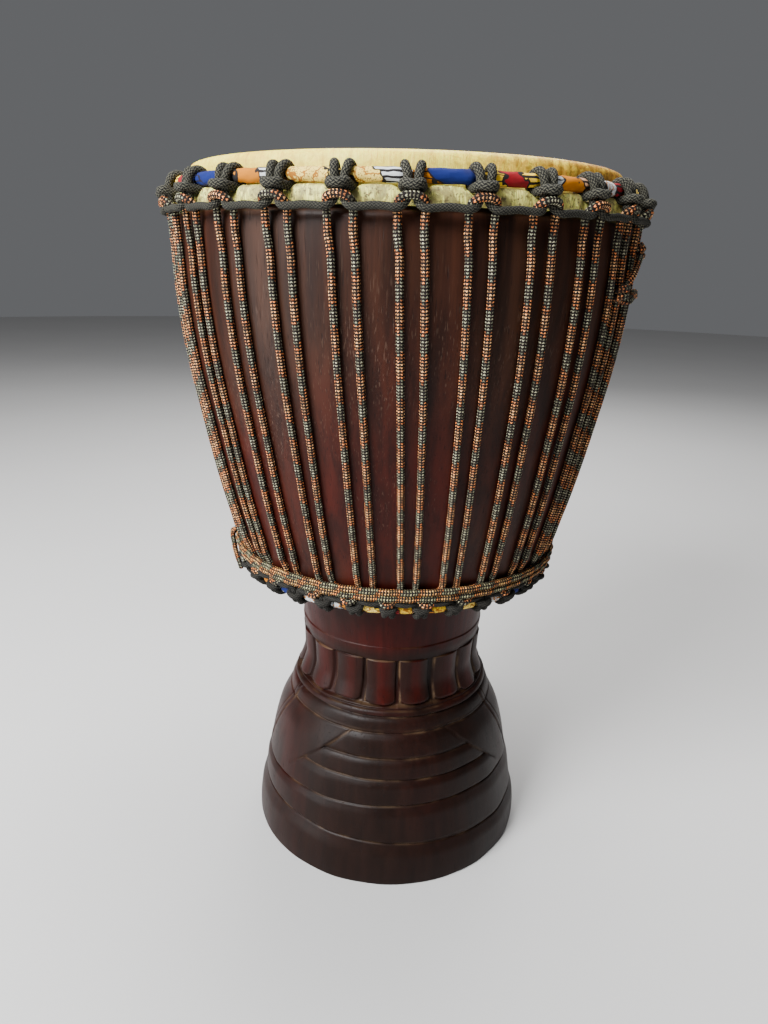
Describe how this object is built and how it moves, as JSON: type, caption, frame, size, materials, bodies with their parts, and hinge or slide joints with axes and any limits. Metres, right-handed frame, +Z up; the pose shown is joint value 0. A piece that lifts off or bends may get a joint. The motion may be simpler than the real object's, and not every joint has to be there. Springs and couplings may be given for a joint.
{
  "type": "djembe",
  "caption": "Rope-tuned goblet drum with a carved hardwood shell, a rolled skin head, cloth-wrapped rings and a laced patterned rope.",
  "frame": {"origin": "centre of the foot's flat bottom", "axes": "+Z up along the drum's axis, -Y towards the front"},
  "size_m": [0.3794, 0.379, 0.58],
  "materials": {
    "shell_wood": "dark stain under satin varnish, worn on the carved edges",
    "skin": "dry shaved rawhide, matte",
    "ring_steel": "plain rod",
    "ring_cloth": "printed cotton in many colours, matte",
    "black_rope": "braided cord, matte",
    "patterned_rope": "braided cord, dark with orange and pale flecks, matte"
  },
  "bodies": {
    "root": {"shell": "shell_wood", "drum_skin": "skin", "flesh_hoop": "ring_steel", "crown_ring": "ring_steel", "crown_ring_cloth": "ring_cloth", "crown_cradle_rope": "black_rope", "tension_rope": "patterned_rope", "tension_rope_weave": "patterned_rope", "belt_rope": "patterned_rope", "belt_rope_tail": "patterned_rope", "lower_ring": "ring_steel", "lower_ring_cloth": "ring_cloth", "lower_cradle_rope": "black_rope"}
  },
  "joints": []
}
